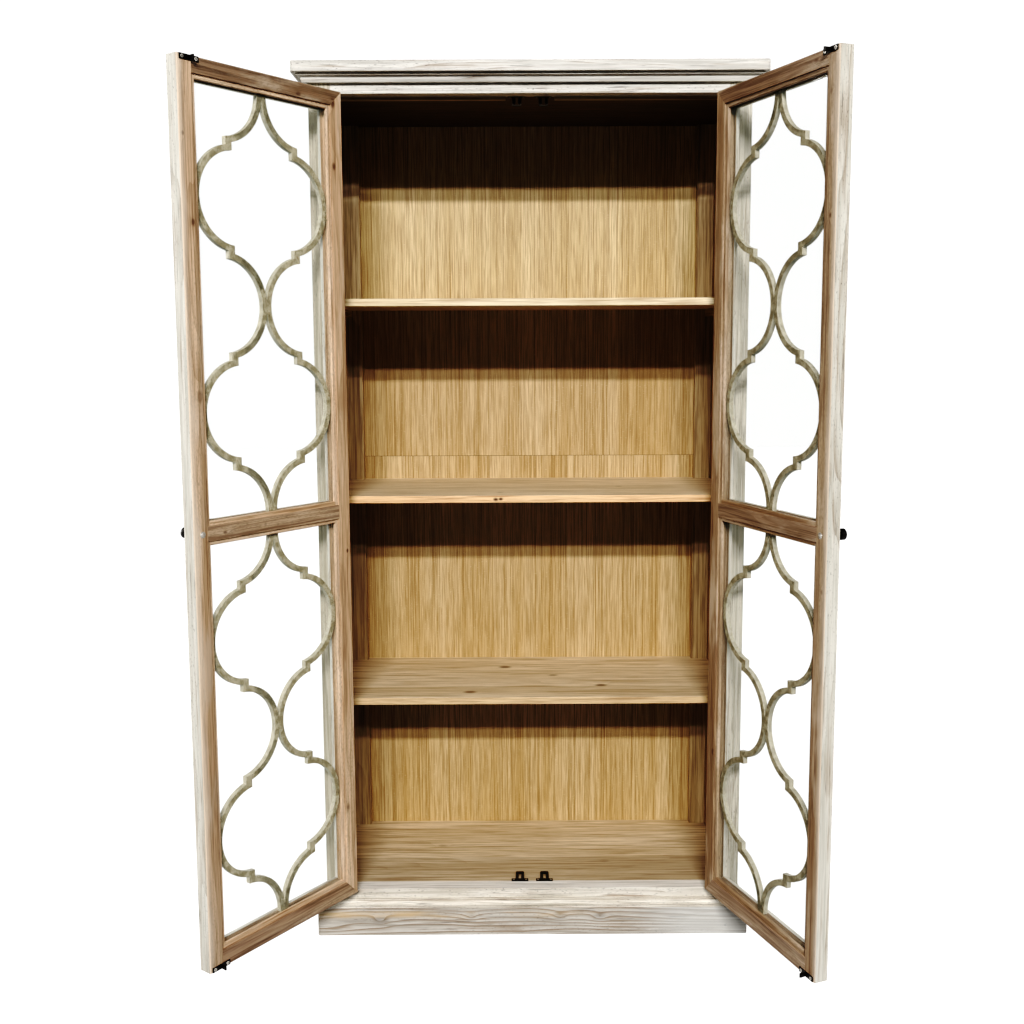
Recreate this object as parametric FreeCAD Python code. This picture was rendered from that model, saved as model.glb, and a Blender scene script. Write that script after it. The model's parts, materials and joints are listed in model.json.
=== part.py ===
import FreeCAD, Part
import math
import os

# Tall pine bookcase with two glazed doors. Each pane is backed by a sawn fretwork of arcs.
# Millimetres. +Z is up, the front faces -Y, and the origin is the centre of the base on the floor.
# The doors are modelled shut and then swung open about their hinge pins.

V = FreeCAD.Vector
UP = V(0, 0, 1)
ACROSS = V(1, 0, 0)
ORIGIN = V(0, 0, 0)

# Case
case_height = 2200.0
case_width = 1073.0
inside_depth = 430.0
side_thickness = 20.0
overrun = 80.0

# Back sheets, let into the side panels
back_thickness = 6.0
back_groove = 8.0
back_foot = 40.0
back_seam = 1211.0
back_seam_gap = 1.0

# Face frame
frame_depth = 42.0
face_stile_width = 52.5
floor_level = 116.0
bottom_rail_height = 60.0
top_rail_height = 45.5
tenon_length = 25.0
tenon_thickness = 14.0
tenon_shoulder = 6.0

# Plinth and the stepped moulding on it
plinth_height = 72.5
plinth_thickness = 22.5
plinth_corner = 6.0
bearer_thickness = 20.0
base_moulding_height = 18.5
base_moulding_reach = 20.5
base_moulding_fillet = 4.5
base_moulding_step = 2.0

# Cornice board and the crown moulding under it
cornice_thickness = 25.0
cornice_reach = 36.0
cornice_corner = 8.0
crown_height = 21.0
crown_lower_reach = 12.0
crown_lower_height = 8.0
crown_lower_swell = 3.0
crown_upper_reach = 24.5
crown_upper_height = 6.0
crown_step = 2.0

# Shelves, floor, top panel, corner posts and cleats
board_thickness = 19.0
shelf_level_upper = 1643.0
shelf_level_middle = 1146.0
shelf_level_lower = 616.5
shelf_edge_round = 2.0
post_width = 46.0
post_thickness = 22.0
cleat_height = 20.0
cleat_thickness = 20.0
cleat_setback = 8.0

# Door stop strips under the top rail
stop_drop = 7.5
stop_thickness = 12.0
stop_clearance = 1.5
stop_catch_gap = 60.0

# Doors
door_thickness = 35.0
door_bottom_gap = 4.0
door_top_gap = 1.5
hinge_gap = 2.0
meeting_gap = 3.0
door_stile_width = 47.5
door_top_rail_width = 45.0
door_bottom_rail_width = 51.5
door_mid_rail_width = 54.0
door_mid_rail_level = 1120.5
door_lip = 9.0
door_rabbet = 10.0
door_chamfer = 2.0
door_tenon_length = 22.0
door_tenon_thickness = 10.0
door_tenon_offset = 12.0
door_tenon_shoulder = 8.0
left_open_angle = 125.8
right_open_angle = 110.67

# Glazing
glass_thickness = 3.0
glass_clearance = 1.5
bead_thickness = 7.0
bead_round = 2.5

# Fretwork
strand_width = 14.0
strand_thickness = 12.0
strand_merge = 1.0
strand_bulge_seat = 3.0
strand_end_seat = 3.0
lower_pattern_lift = 5.0
strand_step_overlap = 17.0
pane_repeats = 2
half = 0.5
diagonal_share = math.sqrt(half)

# Butt hinges
hinge_height = 64.0
hinge_from_end = 228.0
leaf_thickness = 1.8
leaf_recess = 1.0
leaf_width = 30.0
pin_forward = 4.0
pin_radius = 1.55
pin_clearance = 0.05
knuckle_radius = 3.5
knuckle_play = 0.4
knuckle_end_gap = 0.15
knuckles_per_hinge = 3

# Knobs
knob_neck_radius = 6.0
knob_cap_radius = 12.5
knob_neck_height = 13.0
knob_height = 25.0

# Spear strikes on the doors
catch_offset = 32.5
strike_length = 50.0
strike_height = 11.5
strike_thickness = 1.5
spear_height = 9.0
spear_neck_width = 2.4
spear_neck_length = 9.5
spear_head_width = 5.0
spear_head_back = 2.5
spear_head_length = 6.5
spear_tip_width = 1.6

# Double roller catches in the case
catch_sheet = 1.2
catch_width = 22.0
catch_height = 21.0
catch_depth = 14.0
catch_base_width = 44.0
catch_front_gap = 3.0
catch_corner = 3.0
roller_radius = 3.1
roller_gap = 6.6
roller_lift = 3.5
roller_length = 12.0
roller_pin_radius = 1.0
roller_pin_clearance = 0.08

# Places that follow from the sizes above
half_width = case_width / 2
depth = plinth_thickness + inside_depth + back_thickness
rear_y = depth / 2
face_y = plinth_thickness - rear_y
frame_back_y = face_y + frame_depth
back_face_y = face_y + inside_depth
inner_half = half_width - side_thickness
opening_half = half_width - face_stile_width
body_top = case_height - cornice_thickness
opening_top = body_top - top_rail_height
door_low = floor_level + door_bottom_gap
door_high = opening_top - door_top_gap
pin_x = opening_half - hinge_gap / 2
pin_y = face_y - pin_forward
door_width = pin_x - hinge_gap / 2 - meeting_gap / 2
door_edge_x = hinge_gap / 2 - pin_x
hinge_levels = [
    door_low + hinge_from_end,
    (door_low + door_high) / 2,
    door_high - hinge_from_end,
]


def block(xs, ys, zs):
    """Box between two values on each axis."""
    return Part.makeBox(xs[1] - xs[0], ys[1] - ys[0], zs[1] - zs[0], V(xs[0], ys[0], zs[0]))


def mirrored(shape):
    """Copy on the other side of the centre plane."""
    return shape.mirror(ORIGIN, ACROSS)


def outline(points):
    """Closed wire through the points. A pair (middle, end) is an arc through its middle."""
    edges = []
    here = points[0]
    for item in points[1:] + [points[0]]:
        if isinstance(item, tuple):
            edges.append(Part.Arc(here, item[0], item[1]).toShape())
            here = item[1]
        else:
            edges.append(Part.makeLine(here, item))
            here = item
    return Part.Wire(edges)


def prism(points, way):
    """Solid swept straight along a vector from a closed outline."""
    return Part.Face(outline(points)).extrude(way)


def turned(points, centre, way):
    """Solid of revolution. Points are (radius, distance along the axis)."""
    across = V(way.z, way.x, way.y)
    places = []
    for item in points:
        if isinstance(item[0], tuple):
            places.append(tuple(centre + across * r + way * a for r, a in item))
        else:
            places.append(centre + across * item[0] + way * item[1])
    return Part.Face(outline(places)).revolve(centre, way)


def node(name, *solids):
    """Write one sub-part: a single solid, or a group of separate solids."""
    for solid in solids:
        if len(solid.Solids) != 1 or not solid.isValid():
            raise ValueError(name + " has a faulty solid")
    shape = solids[0] if len(solids) == 1 else Part.makeCompound(list(solids))
    shape.exportStep("parts/" + name + ".step")


def wrap_cuts():
    """Plan wedges that mitre a moulding round the front and the two sides of the case."""
    far_x = half_width + overrun
    far_y = face_y - overrun
    rise = V(0, 0, case_height)
    front = prism([V(-far_x, far_y, 0), V(far_x, far_y, 0),
                   V(half_width, face_y, 0), V(-half_width, face_y, 0)], rise)
    left = prism([V(-far_x, far_y, 0), V(-half_width, face_y, 0),
                  V(-half_width, rear_y, 0), V(-far_x, rear_y, 0)], rise)
    return front, left


def wrapped_moulding(profile):
    """Front length and two side returns. The profile is (outward, height), arcs as pairs."""
    def place(to_point):
        return [tuple(to_point(*p) for p in item) if isinstance(item[0], tuple) else to_point(*item)
                for item in profile]

    front_cut, left_cut = wrap_cuts()
    far_x = half_width + overrun
    front = prism(place(lambda out, z: V(-far_x, face_y - out, z)), V(2 * far_x, 0, 0))
    left = prism(place(lambda out, z: V(-half_width - out, face_y - overrun, z)),
                 V(0, rear_y - face_y + overrun, 0))
    left = left.common(left_cut).Solids[0]
    return front.common(front_cut).Solids[0], left, mirrored(left)


def plinth():
    """Skirting boards wrapped round the foot of the case, mitred at rounded front corners."""
    outer = half_width + plinth_thickness
    boards = block((-outer, outer), (face_y - plinth_thickness, rear_y), (0, plinth_height))
    corners = [e for e in boards.Edges
               if abs(e.tangentAt(0).z) > diagonal_share and e.CenterOfMass.y < face_y]
    boards = boards.makeFillet(plinth_corner, corners)
    boards = boards.cut(block((-half_width, half_width), (face_y, rear_y + overrun),
                              (-overrun, plinth_height + overrun)))
    front_cut, left_cut = wrap_cuts()
    left = boards.common(left_cut).Solids[0]
    node("plinth_front", boards.common(front_cut).Solids[0])
    node("plinth_sides", left, mirrored(left))
    node("floor_bearer", block((-bearer_thickness / 2, bearer_thickness / 2),
                               (frame_back_y, back_face_y), (0, floor_level - board_thickness)))


def mouldings():
    """Stepped cove on the plinth, and the crown moulding under the cornice board."""
    def hollow(outer, inner, low, high, centre_out, centre_z):
        """Middle of a cove between two corners, drawn in towards its far corner."""
        out = centre_out + (outer + inner - 2 * centre_out) * diagonal_share
        return out, centre_z + (low + high - 2 * centre_z) * diagonal_share

    low = plinth_height
    high = low + base_moulding_height
    cove_out = base_moulding_reach - base_moulding_step
    cove_low = low + base_moulding_fillet
    cove_high = high - base_moulding_fillet
    cove_in = base_moulding_fillet + base_moulding_step
    node("base_moulding", *wrapped_moulding([
        (0, low), (base_moulding_reach, low), (base_moulding_reach, cove_low), (cove_out, cove_low),
        (hollow(cove_out, cove_in, cove_low, cove_high, cove_out, cove_high), (cove_in, cove_high)),
        (base_moulding_fillet, cove_high), (base_moulding_fillet, high), (0, high)]))

    low = body_top - crown_height
    cove_low = low + crown_lower_height
    cove_high = body_top - crown_upper_height
    cove_in = crown_lower_reach + crown_lower_swell
    cove_out = crown_upper_reach - crown_step
    node("cornice_mouldings", *wrapped_moulding([
        (0, low), (crown_lower_reach, low), (cove_in, cove_low),
        (hollow(cove_out, cove_in, cove_low, cove_high, cove_out, cove_low), (cove_out, cove_high)),
        (crown_upper_reach, cove_high), (crown_upper_reach, body_top), (0, body_top)]))


def cornice_board():
    """Top board with rounded front corners."""
    outer = half_width + cornice_reach
    board = block((-outer, outer), (face_y - cornice_reach, rear_y), (body_top, case_height))
    corners = [e for e in board.Edges
               if abs(e.tangentAt(0).z) > diagonal_share and e.CenterOfMass.y < face_y]
    node("cornice_board", board.makeFillet(cornice_corner, corners))


def face_frame():
    """Stiles and rails round the door opening, joined with stub tenons."""
    middle_y = face_y + frame_depth / 2
    tenon_y = (middle_y - tenon_thickness / 2, middle_y + tenon_thickness / 2)
    rails = {"bottom_rail": (floor_level - bottom_rail_height, floor_level),
             "top_rail": (opening_top, body_top)}
    tenon_half = opening_half + tenon_length
    pockets = []
    for name, (low, high) in rails.items():
        tenon = block((-tenon_half, tenon_half), tenon_y, (low + tenon_shoulder, high - tenon_shoulder))
        pockets.append(tenon)
        rail = block((-opening_half, opening_half), (face_y, frame_back_y), (low, high))
        node(name, rail.fuse(tenon).removeSplitter())
    stile = block((-half_width, -opening_half), (face_y, frame_back_y), (0, body_top))
    for pocket in pockets + [leaf_seat(level, -1) for level in hinge_levels]:
        stile = stile.cut(pocket)
    node("face_stile_left", stile)
    node("face_stile_right", mirrored(stile))


def case_boards():
    """Sides, corner posts, back sheets, floor, top panel, shelves and their cleats."""
    side = block((-half_width, -inner_half), (frame_back_y, rear_y), (0, body_top))
    side = side.cut(block((-inner_half - back_groove, -inner_half), (back_face_y, rear_y),
                          (back_foot, body_top)))
    node("side_panel_left", side)
    node("side_panel_right", mirrored(side))

    post_in = inner_half - post_width
    post_front = back_face_y - post_thickness
    post = block((-inner_half, -post_in), (post_front, back_face_y), (0, body_top))
    node("rear_post_left", post)
    node("rear_post_right", mirrored(post))

    sheet_half = inner_half + back_groove
    sheets = {"back_panel_lower": (back_foot, back_seam - back_seam_gap / 2),
              "back_panel_upper": (back_seam + back_seam_gap / 2, body_top)}
    for name, levels in sheets.items():
        node(name, block((-sheet_half, sheet_half), (back_face_y, rear_y), levels))

    levels = {"floor_panel": floor_level, "shelf_lower": shelf_level_lower,
              "shelf_middle": shelf_level_middle, "shelf_upper": shelf_level_upper,
              "top_panel": opening_top + board_thickness}
    cleats = []
    for name, top in levels.items():
        board = block((-inner_half, inner_half), (frame_back_y, back_face_y),
                      (top - board_thickness, top))
        if name.startswith("shelf"):
            rims = [e for e in board.Edges if abs(e.CenterOfMass.y - frame_back_y) < shelf_edge_round
                    and abs(e.tangentAt(0).x) > diagonal_share]
            board = board.makeFillet(shelf_edge_round, rims)
            under = top - board_thickness
            cleat = block((-inner_half, -inner_half + cleat_thickness),
                          (frame_back_y + cleat_setback, post_front), (under - cleat_height, under))
            cleats += [cleat, mirrored(cleat)]
        for sign in (-1, 1):
            notch = sorted((sign * post_in, sign * inner_half))
            board = board.cut(block(notch, (post_front, back_face_y),
                                    (top - board_thickness, top)))
        node(name, board)
    node("shelf_cleats", *cleats)


def door_stop():
    """Two strips that the doors shut against, one each side of the upper catches."""
    front = face_y + door_thickness + stop_clearance
    strip = block((-opening_half, -stop_catch_gap), (front, front + stop_thickness),
                  (opening_top - stop_drop, opening_top))
    node("door_stop", strip, mirrored(strip))


def leaf_seat(level, sign):
    """Room for a hinge leaf in the wood. Sign -1 is the case side and 1 the door side."""
    near = hinge_gap / 2
    xs = sorted((-pin_x + sign * near, -pin_x + sign * (near + leaf_recess)))
    return block(xs, (face_y, pin_y + leaf_width),
                 (level - hinge_height / 2, level + hinge_height / 2))


def hinge(level):
    """One butt hinge of the left door, shut: case leaf, door leaf and pin."""
    low = level - hinge_height / 2
    knuckle = hinge_height / knuckles_per_hinge
    inner = hinge_gap / 2 + leaf_recess - leaf_thickness
    reach = knuckle_radius + knuckle_play
    bore = Part.makeCylinder(pin_radius + pin_clearance, hinge_height, V(-pin_x, pin_y, low))
    leaves = []
    for sign, first in ((-1, 0), (1, 1)):
        xs = sorted((-pin_x + sign * inner, -pin_x + sign * (inner + leaf_thickness)))
        leaf = block(xs, (pin_y + reach, pin_y + leaf_width), (low, low + hinge_height))
        for index in range(first, knuckles_per_hinge, 2):
            foot = low + index * knuckle + knuckle_end_gap * min(index, 1)
            ends = min(index, 1) + min(knuckles_per_hinge - 1 - index, 1)
            length = knuckle - knuckle_end_gap * ends
            barrel = Part.makeCylinder(knuckle_radius, length, V(-pin_x, pin_y, foot))
            root = block(xs, (pin_y, pin_y + reach), (foot, foot + length))
            leaf = leaf.fuse(barrel.fuse(root))
        leaves.append(leaf.removeSplitter().cut(bore))
    pin = Part.makeCylinder(pin_radius, hinge_height, V(-pin_x, pin_y, low))
    return leaves[0], leaves[1], pin


def case_hinge_parts():
    """Case leaves and pins of all six hinges."""
    left = [hinge(level) for level in hinge_levels]
    leaves = [parts[0] for parts in left]
    pins = [parts[2] for parts in left]
    node("hinge_frame_leaves", *leaves, *[mirrored(s) for s in leaves])
    node("hinge_pins", *pins, *[mirrored(s) for s in pins])


def door_x(s):
    """Place across the shut left door, from its hinge edge."""
    return door_edge_x + s


def door_y(n):
    """Place through the shut door, from its outer face."""
    return face_y + n


def framed_bars(profiles, spans, widths, through_stile=False):
    """Four bars round a rectangle (s0, s1, z0, z1), mitred at the corners.

    Each profile is (distance in from the rectangle, distance through the door), arcs as pairs.
    With a through stile, the right bar keeps its full height and the rails are coped to it.
    """
    s0, s1, z0, z1 = spans
    x0, x1 = door_x(s0), door_x(s1)
    left, right, low, high = (widths[k] for k in ("left", "right", "bottom", "top"))
    end_x = x1
    if through_stile:
        end_x = x1 - right + door_rabbet
        right = door_rabbet
    inner = [V(x0 + left, 0, z0 + low), V(end_x - right, 0, z0 + low),
             V(end_x - right, 0, z1 - high), V(x0 + left, 0, z1 - high)]
    outer = [V(x0, 0, z0), V(end_x, 0, z0), V(end_x, 0, z1), V(x0, 0, z1)]
    if through_stile:
        inner[1].x = end_x
        inner[2].x = end_x
    shift = V(0, face_y - overrun, 0)
    through = V(0, 2 * overrun + door_thickness, 0)
    sides = {
        "right": (1, 2, lambda u, n: V(x1 - u, door_y(n), z0), V(0, 0, z1 - z0)),
        "left": (3, 0, lambda u, n: V(x0 + u, door_y(n), z0), V(0, 0, z1 - z0)),
        "bottom": (0, 1, lambda u, n: V(x0, door_y(n), z0 + u), V(x1 - x0, 0, 0)),
        "top": (2, 3, lambda u, n: V(x0, door_y(n), z1 - u), V(x1 - x0, 0, 0)),
    }
    bars = {}
    for side, (a, b, to_point, way) in sides.items():
        points = [tuple(to_point(*p) for p in item) if isinstance(item[0], tuple) else to_point(*item)
                  for item in profiles[side]]
        bar = prism(points, way)
        if not (through_stile and side == "right"):
            corners = [p + shift for p in (outer[a], outer[b], inner[b], inner[a])]
            bar = bar.common(prism(corners, through))
        if through_stile and side in ("bottom", "top"):
            bar = bar.cut(bars["right"])
        bars[side] = bar.Solids[0]
    return bars


def door_frame():
    """Stiles and rails with a rabbet for the glass, and a tenoned middle rail.

    The corners at the hinges are mitred, and the meeting stile runs through.
    """
    widths = {"left": door_stile_width, "right": door_stile_width,
              "bottom": door_bottom_rail_width, "top": door_top_rail_width}
    profiles = {}
    for side, width in widths.items():
        flat = width - door_rabbet
        profiles[side] = [(0, door_chamfer), (door_chamfer, 0), (width, 0), (width, door_lip),
                          (flat, door_lip), (flat, door_thickness),
                          (door_chamfer, door_thickness), (0, door_thickness - door_chamfer)]
    bars = framed_bars(profiles, (0, door_width, door_low, door_high), widths, True)

    mid_low = door_mid_rail_level - door_mid_rail_width / 2
    mid_high = door_mid_rail_level + door_mid_rail_width / 2
    flat = door_stile_width - door_rabbet
    front = block((door_x(door_stile_width), door_x(door_width - door_stile_width)),
                  (door_y(0), door_y(door_lip)), (mid_low, mid_high))
    rear = block((door_x(flat), door_x(door_width - flat)), (door_y(door_lip), door_y(door_thickness)),
                 (mid_low + door_rabbet, mid_high - door_rabbet))
    tenon = block((door_x(flat - door_tenon_length), door_x(door_width - flat + door_tenon_length)),
                  (door_y(door_tenon_offset), door_y(door_tenon_offset + door_tenon_thickness)),
                  (mid_low + door_rabbet + door_tenon_shoulder,
                   mid_high - door_rabbet - door_tenon_shoulder))
    bars["mid"] = front.fuse([rear, tenon]).removeSplitter()
    for side in ("left", "right"):
        bars[side] = bars[side].cut(tenon)
    for level in hinge_levels:
        bars["left"] = bars["left"].cut(leaf_seat(level, 1))
    return bars


def panes():
    """Rabbet rectangles of the upper and the lower pane: (s0, s1, z0, z1)."""
    flat = door_stile_width - door_rabbet
    mid_low = door_mid_rail_level - door_mid_rail_width / 2 + door_rabbet
    mid_high = door_mid_rail_level + door_mid_rail_width / 2 - door_rabbet
    low = door_low + door_bottom_rail_width - door_rabbet
    high = door_high - door_top_rail_width + door_rabbet
    return [(flat, door_width - flat, mid_high, high), (flat, door_width - flat, low, mid_low)]


def glazing():
    """Panes and the mitred beads that hold them."""
    glass_n = door_lip + strand_thickness
    bead_n = glass_n + glass_thickness
    bead_top = bead_n + bead_thickness
    glass = []
    beads = []
    middle = bead_round * (1 - diagonal_share)
    profile = [(0, bead_n), (door_rabbet, bead_n), (door_rabbet, bead_top - bead_round),
               ((door_rabbet - middle, bead_top - middle), (door_rabbet - bead_round, bead_top)),
               (0, bead_top)]
    sides = ("left", "right", "bottom", "top")
    for s0, s1, z0, z1 in panes():
        glass.append(block((door_x(s0 + glass_clearance), door_x(s1 - glass_clearance)),
                           (door_y(glass_n), door_y(bead_n)),
                           (z0 + glass_clearance, z1 - glass_clearance)))
        bars = framed_bars(dict.fromkeys(sides, profile), (s0, s1, z0, z1),
                           dict.fromkeys(sides, door_rabbet))
        beads += bars.values()
    return glass, beads


def ring_part(centre_s, centre_z, radius, limits_s, limits_z):
    """The stretch of a sawn ring that lies between two limits each way."""
    seat = V(door_x(centre_s), door_y(door_lip), centre_z)
    through = V(0, 1, 0)
    outer = Part.makeCylinder(radius + strand_width / 2, strand_thickness, seat, through)
    inner = Part.makeCylinder(radius - strand_width / 2, strand_thickness, seat, through)
    s0, s1 = sorted(limits_s)
    keep = block((door_x(s0), door_x(s1)), (door_y(0), door_y(door_thickness)), limits_z)
    return outer.cut(inner).common(keep)


def fretwork(low, high, foot, head):
    """Two mirrored strands of alternating arcs that meet at waists and touch the stiles.

    Waist arcs and bulge arcs share one radius. They meet in a square step at each quarter
    of the pattern's height.
    """
    pitch = (high - low) / pane_repeats
    quarter = pitch / 4
    radius = quarter - strand_width / 2
    centre = door_width / 2
    reach = centre - door_stile_width + strand_bulge_seat
    waist = radius + strand_width / 2 - strand_merge
    bulge = reach - strand_width / 2 - radius
    lean = math.sqrt(quarter * strand_width) / 2
    waist_end = max((waist + bulge + strand_step_overlap) / 2, waist - lean)
    bulge_start = min(waist_end - strand_step_overlap, bulge + lean)
    thick = (door_y(door_lip), door_y(door_lip + strand_thickness))
    pieces = []
    for sign in (-1, 1):
        for index in range(pane_repeats + 1):
            level = low + index * pitch
            span = (max(level - pitch / 2, low), min(level + pitch / 2, high))
            pieces.append(ring_part(centre + sign * waist, level, radius,
                                    (centre - sign * strand_width, centre + sign * waist_end), span))
            for step in (level - quarter, level + quarter):
                if low < step < high:
                    xs = sorted(door_x(centre + sign * s) for s in (bulge_start, waist_end))
                    pieces.append(block(xs, thick, (step - strand_width / 2, step + strand_width / 2)))
        for index in range(pane_repeats):
            level = low + (index + half) * pitch
            pieces.append(ring_part(centre + sign * bulge, level, radius,
                                    (centre + sign * bulge_start, centre + sign * (reach + strand_width)),
                                    (level - pitch / 2, level + pitch / 2)))
    leg = strand_width - strand_merge
    for levels in ((foot, low), (high, head)):
        pieces.append(block((door_x(centre - leg), door_x(centre + leg)), thick, levels))
    return pieces[0].fuse(pieces[1:]).removeSplitter().Solids[0]


def knob(level):
    """Turned knob on the outer face of the meeting stile."""
    centre = V(door_x(door_width - door_stile_width / 2), door_y(0), level)
    return turned([(0, 0), (knob_neck_radius, 0), (knob_neck_radius, knob_neck_height),
                   (knob_cap_radius, knob_neck_height), (knob_cap_radius, knob_height),
                   (0, knob_height)], centre, V(0, -1, 0))


def strike(edge, inward):
    """Plate and folded spear at the meeting corner. Inward is the way from the door's end."""
    centre_s = door_width - catch_offset + meeting_gap / 2
    centre = V(door_x(centre_s), door_y(door_thickness), edge + inward * strike_height / 2)
    levels = sorted((edge, edge + inward * strike_height))
    plate = block((centre.x - strike_length / 2, centre.x + strike_length / 2),
                  (centre.y, centre.y + strike_thickness), levels)
    foot = centre + V(0, strike_thickness, -spear_height / 2)
    waist = spear_neck_length
    head = waist + spear_head_back
    tip = waist + spear_head_length
    right_half = [(spear_neck_width / 2, 0), (spear_neck_width / 2, waist),
                  (spear_head_width / 2, head), (spear_tip_width / 2, tip)]
    points = [foot + V(x, y, 0) for x, y in right_half]
    points += [foot + V(-x, y, 0) for x, y in reversed(right_half)]
    return plate, prism(points, UP * spear_height)


def door(side):
    """All pieces of one door, swung open to the angle at which it stands."""
    bars = door_frame()
    glass, beads = glazing()
    sight_low = door_low + door_bottom_rail_width
    sight_high = door_high - door_top_rail_width
    mid_low = door_mid_rail_level - door_mid_rail_width / 2
    mid_high = door_mid_rail_level + door_mid_rail_width / 2
    plates = [solid for edge, inward in ((door_low, 1), (door_high, -1))
              for solid in strike(edge, inward)]
    leaves = [hinge(level)[1] for level in hinge_levels]
    pieces = {
        "hinge_stile": [bars["left"]],
        "meeting_stile": [bars["right"]],
        "top_rail": [bars["top"]],
        "mid_rail": [bars["mid"]],
        "bottom_rail": [bars["bottom"]],
        "fretwork_upper": [fretwork(mid_high, sight_high, mid_high - strand_end_seat,
                                    sight_high + strand_end_seat)],
        "fretwork_lower": [fretwork(sight_low + lower_pattern_lift, mid_low + lower_pattern_lift,
                                    sight_low - strand_end_seat,
                                    mid_low + lower_pattern_lift + strand_end_seat)],
        "glass": glass,
        "glazing_beads": beads,
        "knob": [knob(door_mid_rail_level)],
        "hinge_leaves": leaves,
        "strikes": plates,
    }
    for name, solids in pieces.items():
        if side == "right":
            solids = [mirrored(s) for s in solids]
            angle, centre = right_open_angle, V(pin_x, pin_y, 0)
        else:
            angle, centre = -left_open_angle, V(-pin_x, pin_y, 0)
        for solid in solids:
            solid.rotate(centre, UP, angle)
        node(side + "_door_" + name, *solids)


def catches():
    """Double roller catches: two on the floor and two hung from the top panel."""
    middle_z = (floor_level + opening_top) / 2
    front = face_y + door_thickness + catch_front_gap
    nip_y = front + catch_depth / 2
    ys = (front, front + catch_depth)
    centre_x = -catch_offset
    base = block((centre_x - catch_base_width / 2, centre_x + catch_base_width / 2), ys,
                 (floor_level, floor_level + catch_sheet))
    arch = block((centre_x - catch_width / 2, centre_x + catch_width / 2), ys,
                 (floor_level, floor_level + catch_height))
    rims = [e for e in arch.Edges if abs(e.tangentAt(0).y) > diagonal_share
            and e.CenterOfMass.z > floor_level + catch_height / 2]
    arch = arch.makeFillet(catch_corner, rims)
    room_half = catch_width / 2 - catch_sheet
    room = block((centre_x - room_half, centre_x + room_half), ys,
                 (floor_level + catch_sheet, floor_level + catch_height - catch_sheet))
    housing = base.fuse(arch).cut(room)
    roller_low = floor_level + roller_lift
    rollers = {}
    for name, sign in (("outer", -1), ("inner", 1)):
        place = V(centre_x + sign * (roller_gap / 2 + roller_radius), nip_y, floor_level)
        pin = Part.makeCylinder(roller_pin_radius, catch_height, place)
        housing = housing.fuse(pin)
        place = V(place.x, place.y, roller_low)
        roller = Part.makeCylinder(roller_radius, roller_length, place)
        bore = Part.makeCylinder(roller_pin_radius + roller_pin_clearance, roller_length, place)
        rollers[name] = roller.cut(bore)
    housing = housing.removeSplitter()
    housings = []
    for level in ("lower", "upper"):
        for side in ("left", "right"):
            def placed(solid):
                if level == "upper":
                    solid = solid.mirror(V(0, 0, middle_z), UP)
                return mirrored(solid) if side == "right" else solid

            housings.append(placed(housing))
            for name, roller in rollers.items():
                node("_".join(("catch_roller", level, side, name)), placed(roller))
    node("catch_housings", *housings)


def main():
    os.makedirs("parts", exist_ok=True)
    plinth()
    mouldings()
    cornice_board()
    face_frame()
    case_boards()
    door_stop()
    case_hinge_parts()
    for side in ("left", "right"):
        door(side)
    catches()


main()
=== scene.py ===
"""Looks of the glazed pine bookcase: worn whitewash outside, stained pine inside, black and steel hardware.

Lengths are in metres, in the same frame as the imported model. The front faces -Y.
"""

import json
import math

import bmesh
import bpy
from mathutils import Euler, Matrix, Vector


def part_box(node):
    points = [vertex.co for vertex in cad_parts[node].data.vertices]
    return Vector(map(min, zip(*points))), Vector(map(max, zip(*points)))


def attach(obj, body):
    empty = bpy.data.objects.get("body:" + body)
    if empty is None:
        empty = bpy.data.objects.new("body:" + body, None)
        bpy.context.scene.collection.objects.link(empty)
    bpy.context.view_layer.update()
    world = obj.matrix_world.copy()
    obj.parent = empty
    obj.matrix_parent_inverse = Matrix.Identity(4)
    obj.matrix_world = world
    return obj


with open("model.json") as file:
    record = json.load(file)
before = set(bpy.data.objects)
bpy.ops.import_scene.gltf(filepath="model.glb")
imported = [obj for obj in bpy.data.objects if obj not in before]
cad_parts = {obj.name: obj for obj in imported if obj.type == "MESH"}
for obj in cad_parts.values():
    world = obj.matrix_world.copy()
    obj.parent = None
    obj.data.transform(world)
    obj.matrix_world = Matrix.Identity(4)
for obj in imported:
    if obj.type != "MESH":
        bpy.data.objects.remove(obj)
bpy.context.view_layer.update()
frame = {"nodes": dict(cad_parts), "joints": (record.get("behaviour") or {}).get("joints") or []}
nodes = frame["nodes"]
joints = {joint["name"]: joint for joint in frame["joints"]}
SIDES = ("left", "right")
OUTWARD = {"left": -1, "right": 1}
GRAIN_X = "xyz"
GRAIN_Y = "yxz"
GRAIN_Z = "zxy"

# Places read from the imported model
FACE_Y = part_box("bottom_rail")[0].y
HALF_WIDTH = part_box("side_panel_right")[1].x
HINGE_X = abs(joints["right_door_hinge"]["pos_m"][0])

# Sizes and levels that the solids have
DOOR_EDGE = HINGE_X - 0.001
DOOR_WIDTH = 0.4805
DOOR_THICKNESS = 0.035
DOOR_LOW = 0.120
DOOR_HIGH = 2.128
LIP = 0.009
BEADS_FROM_EDGE = 0.0478
KNOB_LEVEL = 1.1205
FLOOR_LEVEL = 0.116
FLOOR_SEAM_Y = -0.023
CEILING_LEVEL = 2.1295


# Node building

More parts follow.
